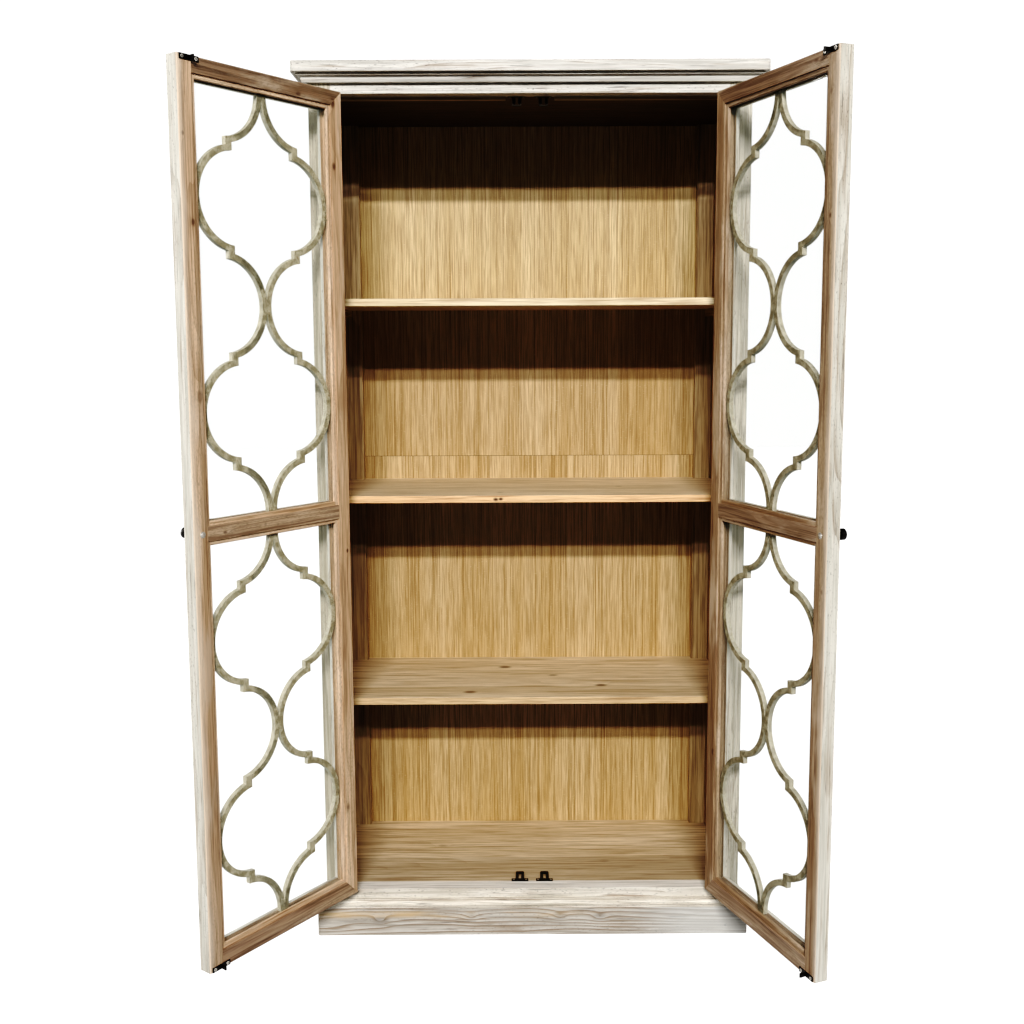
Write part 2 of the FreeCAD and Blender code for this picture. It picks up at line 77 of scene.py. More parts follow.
class Graph:
    """Short calls that add nodes to one material and return their outputs."""

    def __init__(self, name):
        self.material = bpy.data.materials.new(name)
        self.material.use_nodes = True
        self.tree = self.material.node_tree
        self.shader = self.tree.nodes["Principled BSDF"]

    def add(self, kind, values=None, output=0, **settings):
        node = self.tree.nodes.new(kind)
        for key, value in settings.items():
            setattr(node, key, value)
        for key, value in (values or {}).items():
            self.feed(node.inputs[key], value)
        return node.outputs[output]

    def feed(self, socket, value):
        if isinstance(value, bpy.types.NodeSocket):
            self.tree.links.new(value, socket)
        else:
            socket.default_value = value

    def math(self, operation, a, b=0.0):
        return self.add("ShaderNodeMath", {0: a, 1: b}, operation=operation)

    def times(self, a, b):
        return self.math("MULTIPLY", a, b)

    def plus(self, a, b):
        return self.math("ADD", a, b)

    def minus(self, a, b):
        return self.math("SUBTRACT", a, b)

    def most(self, a, b):
        return self.math("MAXIMUM", a, b)

    def vector(self, operation, a, b=(0, 0, 0), output=0):
        return self.add("ShaderNodeVectorMath", {0: a, 1: b}, output=output, operation=operation)

    def towards(self, normal, direction):
        """How far a normal points in a direction, from -1 to 1."""
        return self.vector("DOT_PRODUCT", normal, direction, output=1)

    def scaled(self, vector, factors):
        return self.vector("MULTIPLY", vector, factors)

    def moved(self, vector, offset):
        return self.vector("ADD", vector, offset)

    def split(self, vector):
        node = self.tree.nodes.new("ShaderNodeSeparateXYZ")
        self.feed(node.inputs[0], vector)
        return node.outputs[0], node.outputs[1], node.outputs[2]

    def joined(self, x, y, z):
        return self.add("ShaderNodeCombineXYZ", {0: x, 1: y, 2: z})

    def ordered(self, vector, order):
        places = dict(zip("xyz", self.split(vector)))
        return self.joined(*(places[letter] for letter in order))

    def noise(self, vector, stretch, detail, roughness=0.5):
        return self.add("ShaderNodeTexNoise", {"Vector": self.scaled(vector, stretch), "Scale": 1.0,
                                               "Detail": detail, "Roughness": roughness})

    def step(self, value, low, high, out_low=0.0, out_high=1.0):
        return self.add("ShaderNodeMapRange", {"Value": value, "From Min": low, "From Max": high,
                                               "To Min": out_low, "To Max": out_high},
                        interpolation_type="SMOOTHSTEP")

    def mix(self, factor, a, b):
        node = self.tree.nodes.new("ShaderNodeMix")
        node.data_type = "RGBA"
        for key, value in ((0, factor), (6, a), (7, b)):
            self.feed(node.inputs[key], colour(value) if isinstance(value, tuple) else value)
        return node.outputs[2]

    def mix_vector(self, factor, a, b):
        node = self.tree.nodes.new("ShaderNodeMix")
        node.data_type = "VECTOR"
        for key, value in ((0, factor), (4, a), (5, b)):
            self.feed(node.inputs[key], value)
        return node.outputs[1]

    def bump(self, height, distance, strength):
        normal = self.add("ShaderNodeBump", {"Height": height, "Distance": distance, "Strength": strength})
        self.feed(self.shader.inputs["Normal"], normal)

    def finish(self, base, roughness):
        self.feed(self.shader.inputs["Base Color"], base)
        self.feed(self.shader.inputs["Roughness"], roughness)
        return self.material


def colour(rgb):
    """Linear colour from display values of 0 to 255."""
    return tuple((c / 255 / 12.92) if c <= 10 else ((c / 255 + 0.055) / 1.055) ** 2.4 for c in rgb) + (1.0,)


def place_of(g):
    """Position in the row frame at rest."""
    return g.add("ShaderNodeTexCoord", output=3)


def facing(g):
    """Direction that the surface faces, in the row frame at rest."""
    return g.add("ShaderNodeTexCoord", output=1)


def door_turn(side):
    """Angle from the closed door to its rest pose, and its hinge point."""
    joint = joints[side + "_door_hinge"]
    open_angle = math.radians(-joint["range_deg"][0])
    return OUTWARD[side] * open_angle, Vector(joint["pos_m"])


def door_vector(g, vector, side, is_place):
    """Door coordinates: along the width from the hinge edge, inward from the outer face, and up."""
    angle, hinge = door_turn(side)
    back = Euler((0, 0, -angle)).to_matrix()
    turned = g.add("ShaderNodeMapping", {"Vector": vector, "Rotation": (0, 0, -angle)})
    origin = Vector((OUTWARD[side] * DOOR_EDGE, FACE_Y, 0))
    offset = (hinge - back @ hinge - origin) if is_place else Vector()
    return g.scaled(g.moved(turned, tuple(offset)), (-OUTWARD[side], 1, 1))


# Wood

# Noise fields of a board: stretch along and twice across the grain, detail, roughness
FIELDS = {"flow": ((1.1, 9.0, 9.0), 2.0, 0.45),
          "broad": ((0.9, 14.0, 14.0), 2.0, 0.5),
          "fibre": ((9.0, 420.0, 420.0), 3.0, 0.65),
          "streak": ((3.6, 130.0, 130.0), 4.0, 0.65),
          "patch": ((4.0, 22.0, 22.0), 4.0, 0.6),
          "speck": ((110.0, 520.0, 520.0), 2.0, 0.6)}
SEED_SHIFT = (1.7, 0.9, 2.3)
STRAIGHT_RINGS = 48.0
RING_SHARPNESS = 2.2
KNOT_STRETCH = 0.65
KNOT_FADE = -0.9
KNOT_PULL = 1.4
KNOT_BROWN = (80, 52, 34)
WORN_WIDTH = 0.004


def figure(g, grain, seed, rings, knots=()):
    """Board figure: ring lines, noise fields and a knot mask. The grain vector runs along X.

    Knots are (along, across, across, size, shade) in the grain vector's own places.
    """
    shifted = g.moved(grain, tuple(seed * share for share in SEED_SHIFT))
    fig = {name: g.noise(shifted, *field) for name, field in FIELDS.items()}
    across, deep = g.split(shifted)[1:]
    field = g.plus(g.times(fig["flow"], rings), g.times(g.plus(across, deep), STRAIGHT_RINGS))
    fig["knot"] = 0.0
    for at, beside, behind, size, shade in knots:
        spread = (KNOT_STRETCH / size, 1.0 / size, 1.0 / size)
        away = g.scaled(g.moved(grain, (-at, -beside, -behind)), spread)
        distance = g.vector("LENGTH", away, output=1)
        near = g.math("EXPONENT", g.times(distance, KNOT_FADE))
        field = g.plus(field, g.times(near, KNOT_PULL))
        fig["knot"] = g.most(fig["knot"], g.step(distance, 1.3, 0.35, 0.0, shade))
    fig["line"] = g.math("POWER", g.math("FRACT", field), RING_SHARPNESS)
    return fig


def stained(g, fig, light, middle, dark, ring_depth=0.4):
    """Colour of clear stained pine."""
    tone = g.mix(g.step(fig["broad"], 0.36, 0.62), middle, light)
    tone = g.mix(g.times(fig["line"], ring_depth), tone, dark)
    tone = g.mix(g.step(fig["streak"], 0.52, 0.36, 0.0, 0.7), tone, dark)
    tone = g.mix(g.step(fig["fibre"], 0.56, 0.36, 0.0, 0.5), tone, dark)
    return g.mix(fig["knot"], tone, KNOT_BROWN)


def worn_edges(g):
    """Mask of the arrises, from how far a rounded normal leans away from the face."""
    soft = g.add("ShaderNodeBevel", {"Radius": WORN_WIDTH}, samples=4)
    true = g.add("ShaderNodeNewGeometry", output=1)
    return g.step(g.towards(soft, true), 0.995, 0.90)


# Whitewash tones: full paint, thin paint, bare wood and the dark of cracks
FRESH = ((223, 220, 213), (186, 182, 174), (142, 124, 104), (62, 52, 42))
GREYED = ((220, 214, 201), (174, 168, 154), (126, 114, 96), (56, 48, 38))
# Darker copy of the GREYED tones: painted shade, for the left face stile that the open left door shades
SHADE_PAINTED_WASH = ((206, 198, 182), (160, 152, 134), (118, 104, 84), (52, 44, 34))
AGED = ((238, 233, 223), (192, 184, 170), (140, 118, 92), (58, 46, 34))
PLINTH = ((222, 217, 208), (164, 155, 143), (130, 108, 84), (56, 45, 35))
DOOR_WASH = ((236, 232, 222), (196, 192, 180), (150, 134, 112), (70, 60, 48))
LEDGE_WORN = (206, 202, 194)
LEDGE_FRESH = (252, 249, 243)
HEARTWOOD = (206, 178, 138)
COOL_PAINT = (212, 214, 212)
HEARTWOOD_LEVEL = 0.056
HEARTWOOD_REACH = 0.014

# Stain tones: light, middle and dark
UNPAINTED = ((180, 150, 112), (154, 124, 88), (100, 72, 48))
GREYED_FLOOR = (132, 116, 98)
SEAM_HALF = 0.0006

# Tones and sizes of the door wood
PALE_PATCH = (222, 202, 180)
PALE_EDGE = (226, 210, 190)
GREY_SPECK = (122, 108, 92)
DOOR_BARENESS = {"left": 0.06, "right": 0.09}
RIM_MARGIN = 0.0012
LIP_MARGIN = 0.0004

# Tones of the veneer, dark and light, below and above the level where it turns paler
VENEER_LOW = ((182, 152, 108), (206, 181, 141))
VENEER_HIGH = ((193, 167, 119), (221, 200, 156))
VENEER_TURN = (1.58, 1.70)
VENEER_STRIPE = (136, 104, 62)
VENEER_PORE = (132, 100, 58)
VENEER_WEAVE = (232, 214, 176)

# Tones of the fretwork: dim and pale taupe on each side, darker on the right door as painted shade, then
# what lies over both
FRET_TAUPE_LIT_AND_SHADED = {"left": ((154, 142, 114), (204, 193, 166)), "right": ((138, 126, 102), (188, 177, 152))}
FRET_SPECK = (98, 88, 64)
FRET_CLOUD = (150, 126, 94)
FRET_WASH = ((190, 186, 168), (226, 222, 208))


def whitewash(g, fig, tones, bareness, figured=0.12):
    """Thin white paint over grey brown pine, rubbed off along the grain and the edges."""
    light, dim, wood, crack = tones
    paint = g.mix(g.step(fig["streak"], 0.60, 0.38), light, dim)
    paint = g.mix(g.step(fig["patch"], 0.62, 0.36, 0.0, 0.45), paint, dim)
    thin = g.plus(g.times(fig["line"], figured), g.times(fig["streak"], 0.9))
    thin = g.plus(thin, g.times(fig["patch"], 0.6))
    covered = 0.3 * figured - bareness
    bare = g.step(thin, 0.78 + covered, 1.02 + covered)
    chips = g.step(fig["patch"], 0.42, 0.60)
    bare = g.most(bare, g.times(worn_edges(g), chips))
    base = g.mix(g.times(bare, 0.8), paint, wood)
    pits = g.times(g.step(fig["fibre"], 0.58, 0.68), g.step(fig["patch"], 0.40, 0.58))
    specks = g.times(g.step(fig["speck"], 0.63, 0.70), g.step(fig["broad"], 0.42, 0.56))
    base = g.mix(g.times(g.most(pits, specks), 0.72), base, crack)
    return g.mix(g.times(fig["knot"], 0.75), base, crack)


def wood_bump(g, fig, depth=0.0006):
    """Relief of the fibres and streaks, with the ring lines sunk."""
    height = g.plus(g.times(fig["fibre"], 0.5), g.times(fig["line"], -0.5))
    g.bump(g.plus(height, g.times(fig["streak"], 0.6)), depth, 0.6)


def wrapped_grain(g, place):
    """Grain that follows a moulding round its mitred front corners."""
    x, y, z = g.split(place)
    beside = g.minus(g.math("ABSOLUTE", x), HALF_WIDTH)
    on_side = g.math("GREATER_THAN", beside, g.minus(FACE_Y, y))
    return g.mix_vector(on_side, g.joined(x, y, z), g.joined(y, x, z))


def outside_board(name, grain, seed, knots=(), tones=FRESH, inside=None, rings=9.0, bareness=0.0,
                  figured=0.12, ledge=None, warm=False):
    """Whitewashed board. Inside is the direction whose faces are stained pine instead.

    A ledge is the fresher tone of a face that looks up. Warm lets a band of bare heartwood show.
    """
    g = Graph(name)
    place = place_of(g)
    along = wrapped_grain(g, place) if grain == "wrap" else g.ordered(place, grain)
    fig = figure(g, along, seed, rings, knots)
    base = whitewash(g, fig, tones, bareness, figured)
    if inside is not None:
        hidden = g.step(g.towards(facing(g), inside), 0.4, 0.8)
        base = g.mix(hidden, base, stained(g, fig, *UNPAINTED))
    if warm:
        x, y, z = g.split(place)
        aside = g.math("ABSOLUTE", g.minus(z, HEARTWOOD_LEVEL))
        band = g.times(g.step(aside, HEARTWOOD_REACH, 0.002), g.step(x, 0.2, -0.05))
        band = g.times(band, g.step(fig["patch"], 0.36, 0.60, 0.0, 0.7))
        base = g.mix(band, base, HEARTWOOD)
        base = g.mix(g.step(x, 0.2, 0.42, 0.0, 0.45), base, COOL_PAINT)
    if ledge is not None:
        upward = g.step(g.split(facing(g))[2], 0.6, 0.9, 0.0, 0.65)
        base = g.mix(upward, base, g.mix(g.step(fig["streak"], 0.36, 0.6), LEDGE_WORN, ledge))
    wood_bump(g, fig)
    return g.finish(base, g.step(fig["fibre"], 0.3, 0.7, 0.72, 0.58))


def inside_board(name, grain, seed, tones, knots=(), rings=9.0, edge=None, seam=None):
    """Stained and waxed board of the inside. Edge tones are those of a paler front edge.

    Seam is the depth of a glued joint, in front of which the board is greyer.
    """
    g = Graph(name)
    fig = figure(g, g.ordered(place_of(g), grain), seed, rings, knots)
    base = stained(g, fig, *tones, ring_depth=0.26)
    if seam is not None:
        y = g.split(place_of(g))[1]
        base = g.mix(g.step(y, seam + SEAM_HALF, seam - SEAM_HALF, 0.0, 0.3), base, GREYED_FLOOR)
    if edge is not None:
        front = g.step(g.towards(facing(g), (0, -1, 0)), 0.4, 0.8)
        base = g.mix(front, base, stained(g, fig, *edge, ring_depth=0.25))
    wood_bump(g, fig, 0.0004)
    return g.finish(base, g.step(fig["fibre"], 0.3, 0.7, 0.62, 0.46))


def door_board(name, side, grain, seed, tones, knots=()):
    """Door wood: stained brown towards the inside, worn whitewash on outer faces and edges.

    Without a grain, the piece is a ring of beads, each with its grain along its own length.
    """
    g = Graph(name)
    place = door_vector(g, place_of(g), side, True)
    normal = door_vector(g, facing(g), side, False)
    s, n, z = g.split(place)
    if grain is None:
        aside = g.math("ABSOLUTE", g.minus(s, DOOR_WIDTH / 2))
        upright = g.math("GREATER_THAN", aside, DOOR_WIDTH / 2 - BEADS_FROM_EDGE)
        along = g.mix_vector(upright, g.ordered(place, GRAIN_X), g.ordered(place, GRAIN_Z))
    else:
        along = g.ordered(place, grain)
    fig = figure(g, along, seed, 10.0, knots)
    inward = g.step(g.split(normal)[1], 0.35, 0.6)
    beyond = g.most(g.minus(RIM_MARGIN, s), g.minus(s, DOOR_WIDTH - RIM_MARGIN))
    beyond_z = g.most(g.minus(DOOR_LOW + RIM_MARGIN, z), g.minus(z, DOOR_HIGH - RIM_MARGIN))
    rim = g.math("GREATER_THAN", g.most(beyond, beyond_z), 0.0)
    deep = g.math("GREATER_THAN", n, LIP + LIP_MARGIN)
    brown = g.most(inward, g.times(deep, g.minus(1.0, rim)))
    pine = stained(g, fig, *tones)
    pine = g.mix(g.step(fig["patch"], 0.50, 0.70, 0.0, 0.5), pine, PALE_PATCH)
    greyed = g.times(g.step(fig["speck"], 0.50, 0.66), g.step(fig["broad"], 0.40, 0.60))
    pine = g.mix(g.times(greyed, 0.55), pine, GREY_SPECK)
    near_edge = g.plus(s, g.times(fig["patch"], 0.03))
    pine = g.mix(g.step(near_edge, DOOR_WIDTH - 0.006, DOOR_WIDTH + 0.016, 0.0, 0.65), pine, PALE_EDGE)
    base = g.mix(brown, whitewash(g, fig, DOOR_WASH, DOOR_BARENESS[side]), pine)
    wood_bump(g, fig)
    return g.finish(base, 0.62)


def veneer(name, seed):
    """Straight fine grained veneer of the back sheets."""
    g = Graph(name)
    place = g.moved(place_of(g), (seed, 0, seed))
    stripe = g.noise(place, (210.0, 40.0, 1.1), 4.0, 0.75)
    fine = g.noise(place, (620.0, 90.0, 9.0), 2.0, 0.6)
    band = g.noise(place, (14.0, 4.0, 0.4), 3.0, 0.55)
    weave = g.noise(place, (150.0, 40.0, 420.0), 2.0, 0.6)
    low = g.mix(g.step(band, 0.3, 0.7), *VENEER_LOW)
    high = g.mix(g.step(band, 0.3, 0.7), *VENEER_HIGH)
    base = g.mix(g.step(g.split(place_of(g))[2], *VENEER_TURN), low, high)
    base = g.mix(g.step(stripe, 0.52, 0.38, 0.0, 0.75), base, VENEER_STRIPE)
    base = g.mix(g.step(fine, 0.54, 0.42, 0.0, 0.6), base, VENEER_PORE)
    base = g.mix(g.step(weave, 0.60, 0.74, 0.0, 0.35), base, VENEER_WEAVE)
    g.bump(g.plus(stripe, fine), 0.0002, 0.5)
    return g.finish(base, 0.55)


def fret_paint(name, side):
    """Fretwork: taupe stain towards the inside, whitewash on the outer face and the sawn edges."""
    g = Graph(name)
    place = door_vector(g, place_of(g), side, True)
    normal = door_vector(g, facing(g), side, False)
    fig = figure(g, g.ordered(place, GRAIN_Z), 5.0, 7.0)
    inward = g.step(g.split(normal)[1], 0.2, 0.5)
    cloud = g.noise(place, (60.0, 60.0, 60.0), 4.0, 0.65)
    # Taupe of this side; the right door's darker copy is painted shade
    taupe = g.mix(g.step(cloud, 0.38, 0.62), *FRET_TAUPE_LIT_AND_SHADED[side])
    taupe = g.mix(g.step(fig["speck"], 0.52, 0.66, 0.0, 0.6), taupe, FRET_SPECK)
    taupe = g.mix(g.step(cloud, 0.60, 0.72, 0.0, 0.6), taupe, FRET_CLOUD)
    washed = g.mix(g.step(fig["streak"], 0.35, 0.65), *FRET_WASH)
    base = g.mix(inward, g.mix(0.45, taupe, washed), taupe)
    wood_bump(g, fig, 0.0003)
    return g.finish(base, 0.6)


# Metal, glass and plastic

METALLIC = 0.6
GLASS_ALPHA = 0.08
GLASS_IOR = 1.5


def metal(name, base, roughness, grime):
    """Metal with grime in spots and fine scratches."""
    g = Graph(name)
    place = place_of(g)
    spots = g.noise(place, (320.0, 320.0, 320.0), 4.0, 0.7)
    scratches = g.noise(place, (900.0, 900.0, 90.0), 2.0)
    tone = g.mix(g.step(spots, 0.45, 0.75, 0.0, 0.6), base, grime)
    g.feed(g.shader.inputs["Metallic"], METALLIC)
    g.bump(scratches, 0.00004, 0.5)
    return g.finish(tone, g.step(spots, 0.3, 0.7, roughness - 0.08, roughness + 0.12))


def pane_glass(name):
    """Clear glass with a slight ripple."""
    g = Graph(name)
    ripple = g.noise(place_of(g), (7.0, 7.0, 7.0), 1.0)
    g.bump(ripple, 0.0006, 0.2)
    g.feed(g.shader.inputs["Alpha"], GLASS_ALPHA)
    g.feed(g.shader.inputs["IOR"], GLASS_IOR)
    g.material.surface_render_method = "BLENDED"
    return g.finish(g.mix(ripple, (176, 190, 176), (184, 196, 184)), 0.04)


def nylon(name):
    """Dark plastic of the catch rollers."""
    g = Graph(name)
    speckle = g.noise(place_of(g), (500.0, 500.0, 500.0), 3.0)
    g.bump(speckle, 0.00005, 0.4)
    return g.finish(g.mix(speckle, (38, 32, 26), (60, 52, 42)), 0.42)


# Small fasteners that the solids leave out

# Shares of a countersunk head's radius
HEAD_FOOT = 0.82
HEAD_DEPTH = 0.35
HEAD_ROUND = 0.07
CROSS_ARM = (1.15, 0.2, 0.02)

WASHER_RADII = (0.0075, 0.0071)
WASHER_THICKNESS = 0.0012
DOME_RADIUS = 0.0055
DOME_LIFT = 0.0004
DOME_FLATNESS = 0.42
HINGE_SCREW_SPACING = 0.021


def shape_of(name, mesh):
    """Mesh data from a finished bmesh, which is freed."""
    data = bpy.data.meshes.new(name)
    mesh.to_mesh(data)
    mesh.free()
    return data


def in_scene(name, data):
    """New object in the scene."""
    piece = bpy.data.objects.new(name, data)
    bpy.context.scene.collection.objects.link(piece)
    return piece


def turned_to(centre, out):
    """Matrix that stands a shape on a point with its Z axis along a direction."""
    return Matrix.Translation(centre) @ out.to_track_quat("Z", "Y").to_matrix().to_4x4()


def screw_heads(name, places, radius, body):
    """Countersunk heads with a black cross, painted shade that stands for the cross recess. Each place is
    (centre, outward direction, twist).
    """
    mesh = bmesh.new()
    for centre, out, twist in places:
        seat = turned_to(centre, out) @ Matrix.Rotation(twist, 4, "Z")
        head = bmesh.ops.create_cone(mesh, cap_ends=True, segments=28, radius1=radius * HEAD_FOOT,
                                     radius2=radius, depth=radius * HEAD_DEPTH, matrix=seat)
        rim = {edge for vertex in head["verts"] for edge in vertex.link_edges}
        bmesh.ops.bevel(mesh, geom=list(rim), offset=radius * HEAD_ROUND, segments=1, affect="EDGES")
        for angle in (0.0, math.pi / 2):
            top = Matrix.Translation((0, 0, radius * HEAD_DEPTH / 2))
            arm = seat @ Matrix.Rotation(angle, 4, "Z") @ top
            size = Matrix.Diagonal((*(radius * share for share in CROSS_ARM), 1.0))
            # The black cross on the head is painted shade of the recess
            cross = bmesh.ops.create_cube(mesh, size=1.0, matrix=arm @ size)
            for face in {face for vertex in cross["verts"] for face in vertex.link_faces}:
                face.material_index = 1
    data = shape_of(name, mesh)
    piece = in_scene(name, data)
    data.materials.append(steel)
    data.materials.append(black)
    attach(piece, body)


def dome_head(name, centre, out, body):
    """Low domed screw head on its flat washer."""
    mesh = bmesh.new()
    seat = turned_to(centre, out)
    bmesh.ops.create_cone(mesh, cap_ends=True, segments=32, radius1=WASHER_RADII[0],
                          radius2=WASHER_RADII[1], depth=WASHER_THICKNESS, matrix=seat)
    dome = seat @ Matrix.Translation((0, 0, DOME_LIFT)) @ Matrix.Diagonal((1, 1, DOME_FLATNESS, 1))
    bmesh.ops.create_uvsphere(mesh, u_segments=32, v_segments=16, radius=DOME_RADIUS, matrix=dome)
    for face in mesh.faces:
        face.smooth = len(face.verts) < 5
    data = shape_of(name, mesh)
    piece = in_scene(name, data)
    data.materials.append(steel)
    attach(piece, body)


def hinge_screw_places(leaf_faces):
    """Three screws on each hinge leaf, as places in the row frame at rest."""
    places = []
    for index, (centre, out) in enumerate(leaf_faces):
        for row in (-1, 0, 1):
            spot = centre + Vector((0, 0, row * HINGE_SCREW_SPACING))
            places.append((spot, out, 0.5 * index + 0.9 * row))
    return places


# Assigning materials

def paint(node, material):
    data = nodes[node].data
    data.materials.clear()
    data.materials.append(material)


# Knots of the whitewashed boards, as (along, across, across, size, shade)
PLINTH_KNOTS = ((0.0712, -0.229, 0.052, 0.012, 0.25), (0.175, -0.229, 0.049, 0.011, 0.3),
                (-0.397, -0.229, 0.041, 0.014, 0.3), (-0.16, -0.229, 0.05, 0.012, 0.2),
                (0.5016, -0.229, 0.0223, 0.002, 1.0))
RAIL_KNOTS = ((0.149, -0.21, 0.1175, 0.004, 1.0), (-0.24, -0.21, 0.1, 0.003, 0.7),
              (0.36, -0.21, 0.106, 0.004, 0.6))
paint("plinth_front", outside_board("whitewash_plinth_front", GRAIN_X, 1.0, PLINTH_KNOTS, PLINTH,
                                    rings=14.0, bareness=0.1, figured=0.3, warm=True))
paint("plinth_sides", outside_board("whitewash_plinth_sides", GRAIN_Y, 2.0, tones=GREYED))
paint("base_moulding", outside_board("whitewash_base_moulding", "wrap", 3.0, tones=AGED))
paint("bottom_rail", outside_board("whitewash_bottom_rail", GRAIN_X, 4.0, RAIL_KNOTS, AGED, (0, 1, 0),
                                   bareness=0.04, ledge=LEDGE_FRESH))
paint("top_rail", outside_board("whitewash_top_rail", GRAIN_X, 5.0, inside=(0, 1, 0)))
paint("cornice_board", outside_board("whitewash_cornice_board", GRAIN_X, 6.0, rings=12.0))
paint("cornice_mouldings", outside_board("whitewash_crown", "wrap", 7.0))
# The left face stile takes the darker whitewash as painted shade; the right one takes GREYED
STILE_WASH = {"left": SHADE_PAINTED_WASH, "right": GREYED}
for index, side in enumerate(SIDES):
    paint("face_stile_" + side, outside_board("whitewash_stile_" + side, GRAIN_Z, 8.0 + index,
                                              tones=STILE_WASH[side], inside=(0, 1, 0)))
    paint("side_panel_" + side, outside_board("whitewash_side_" + side, GRAIN_Z, 10.0 + index,
                                              tones=GREYED, inside=(-OUTWARD[side], 0, 0), rings=14.0))

SHELF_TONES = ((235, 216, 187), (213, 192, 162), (150, 124, 94))
# Dark tones of the top panel: painted shade, as its underside is only seen in shade. The filler of the back
# seam uses them as a dark joint
CEILING_SHADE_AND_SEAM_TONES = ((92, 66, 42), (80, 56, 36), (54, 38, 24))
EDGE_TONES = {"shelf_upper": ((234, 219, 188), (221, 202, 166), (170, 142, 106)),
              "shelf_middle": ((236, 200, 154), (220, 178, 132), (160, 114, 76)),
              "shelf_lower": ((212, 184, 144), (194, 164, 126), (142, 110, 78))}
POST_TONES = ((206, 184, 148), (178, 154, 118), (118, 94, 68))
SHELF_KNOTS = {
    "shelf_upper": ((-0.2, -0.1, 1.643, 0.008, 0.6), (0.3, 0.05, 1.643, 0.007, 0.6)),
    "shelf_middle": ((-0.09, -0.165, 1.136, 0.0045, 1.0), (-0.0775, -0.165, 1.137, 0.004, 1.0),
                     (-0.08, -0.1, 1.146, 0.006, 0.5), (0.24, 0.02, 1.146, 0.007, 0.5)),
    "shelf_lower": ((-0.071, 0.119, 0.6165, 0.012, 0.8), (-0.162, -0.117, 0.6165, 0.012, 0.7),
                    (0.062, 0.037, 0.6165, 0.009, 0.6), (0.188, -0.06, 0.6165, 0.011, 0.8)),
    "floor_panel": ((-0.25, 0.05, 0.116, 0.01, 0.25), (0.2, -0.05, 0.116, 0.008, 0.25)),
    "top_panel": (),
}
for index, (name, knots) in enumerate(SHELF_KNOTS.items()):
    # The top panel takes the dark tones, painted shade on its underside
    tones = CEILING_SHADE_AND_SEAM_TONES if name == "top_panel" else SHELF_TONES
    paint(name, inside_board("pine_" + name, GRAIN_X, 20.0 + index, tones, knots, 8.0,
                             EDGE_TONES.get(name), FLOOR_SEAM_Y if name == "floor_panel" else None))
PLAIN_GRAINS = {"rear_post_left": GRAIN_Z, "rear_post_right": GRAIN_Z, "shelf_cleats": GRAIN_Y,
                "floor_bearer": GRAIN_Y, "door_stop": GRAIN_X}
for index, (name, grain) in enumerate(PLAIN_GRAINS.items()):
    paint(name, inside_board("pine_" + name, grain, 30.0 + index, POST_TONES))
paint("back_panel_upper", veneer("veneer_upper", 0.0))
paint("back_panel_lower", veneer("veneer_lower", 3.0))

black = metal("black_iron", (26, 24, 22), 0.42, (54, 46, 38))
steel = metal("bright_steel", (188, 184, 176), 0.4, (128, 122, 110))
roller = nylon("roller_nylon")
glass = pane_glass("pane_glass")
paint("hinge_frame_leaves", steel)
paint("hinge_pins", steel)
paint("catch_housings", black)
for name in nodes:
    if name.startswith("catch_roller"):
        paint(name, roller)

# One stain in per side copies, set to how light falls on each door: the left stiles and beads are painted
# lighter than the right ones (painted light), and the left top rail darker than the right one (painted
# shade)
STILE_LIT_AND_SHADED_TONES = {"left": ((232, 204, 174), (206, 175, 145), (134, 104, 79)),
               "right": ((184, 160, 134), (160, 134, 109), (102, 79, 59))}
RAIL_TONES = {"left": ((190, 165, 140), (164, 137, 114), (102, 79, 60)),
              "right": ((190, 166, 144), (164, 140, 119), (104, 84, 67))}
TOP_RAIL_LIT_AND_SHADED_TONES = {"left": ((146, 121, 98), (125, 101, 80), (80, 61, 46)),
                  "right": ((178, 154, 130), (154, 129, 107), (98, 77, 60))}
# Grain and tones of each kind of door piece. Beads have no single grain
DOOR_PARTS = {"hinge_stile": (GRAIN_Z, STILE_LIT_AND_SHADED_TONES), "meeting_stile": (GRAIN_Z, STILE_LIT_AND_SHADED_TONES),
              "top_rail": (GRAIN_X, TOP_RAIL_LIT_AND_SHADED_TONES), "mid_rail": (GRAIN_X, RAIL_TONES),
              "bottom_rail": (GRAIN_X, RAIL_TONES), "glazing_beads": (None, STILE_LIT_AND_SHADED_TONES)}
# Knots of each door board, placed (up, along the width, inward) on stiles and (along the width, inward, up)
# on rails, then size and shade
DOOR_KNOTS = {
    "left_door_hinge_stile": ((2.097, 0.03, 0.035, 0.008, 0.9), (1.951, 0.03, 0.035, 0.006, 0.8),
                              (1.02, 0.012, 0.035, 0.004, 0.9), (0.36, 0.03, 0.035, 0.006, 0.6)),
    "left_door_meeting_stile": ((1.9675, 0.471, 0.035, 0.0035, 0.9), (1.8385, 0.43, 0.035, 0.004, 0.9),
                                (1.7875, 0.4525, 0.035, 0.006, 0.8), (1.42, 0.45, 0.035, 0.009, 0.5)),
    "left_door_top_rail": ((0.14, 0.035, 2.1, 0.005, 0.8), (0.03, 0.035, 2.108, 0.004, 0.6)),
    "left_door_mid_rail": ((0.395, 0.035, 1.118, 0.004, 0.8),),
    "right_door_meeting_stile": ((2.04, 0.455, 0.035, 0.005, 0.6), (1.79, 0.462, 0.035, 0.004, 0.7),
                                 (1.0, 0.468, 0.035, 0.004, 0.7)),
    "right_door_top_rail": ((0.4, 0.035, 2.11, 0.006, 0.6),),
    "right_door_hinge_stile": ((1.2, 0.028, 0.035, 0.005, 0.6), (0.5, 0.03, 0.035, 0.006, 0.6)),
}
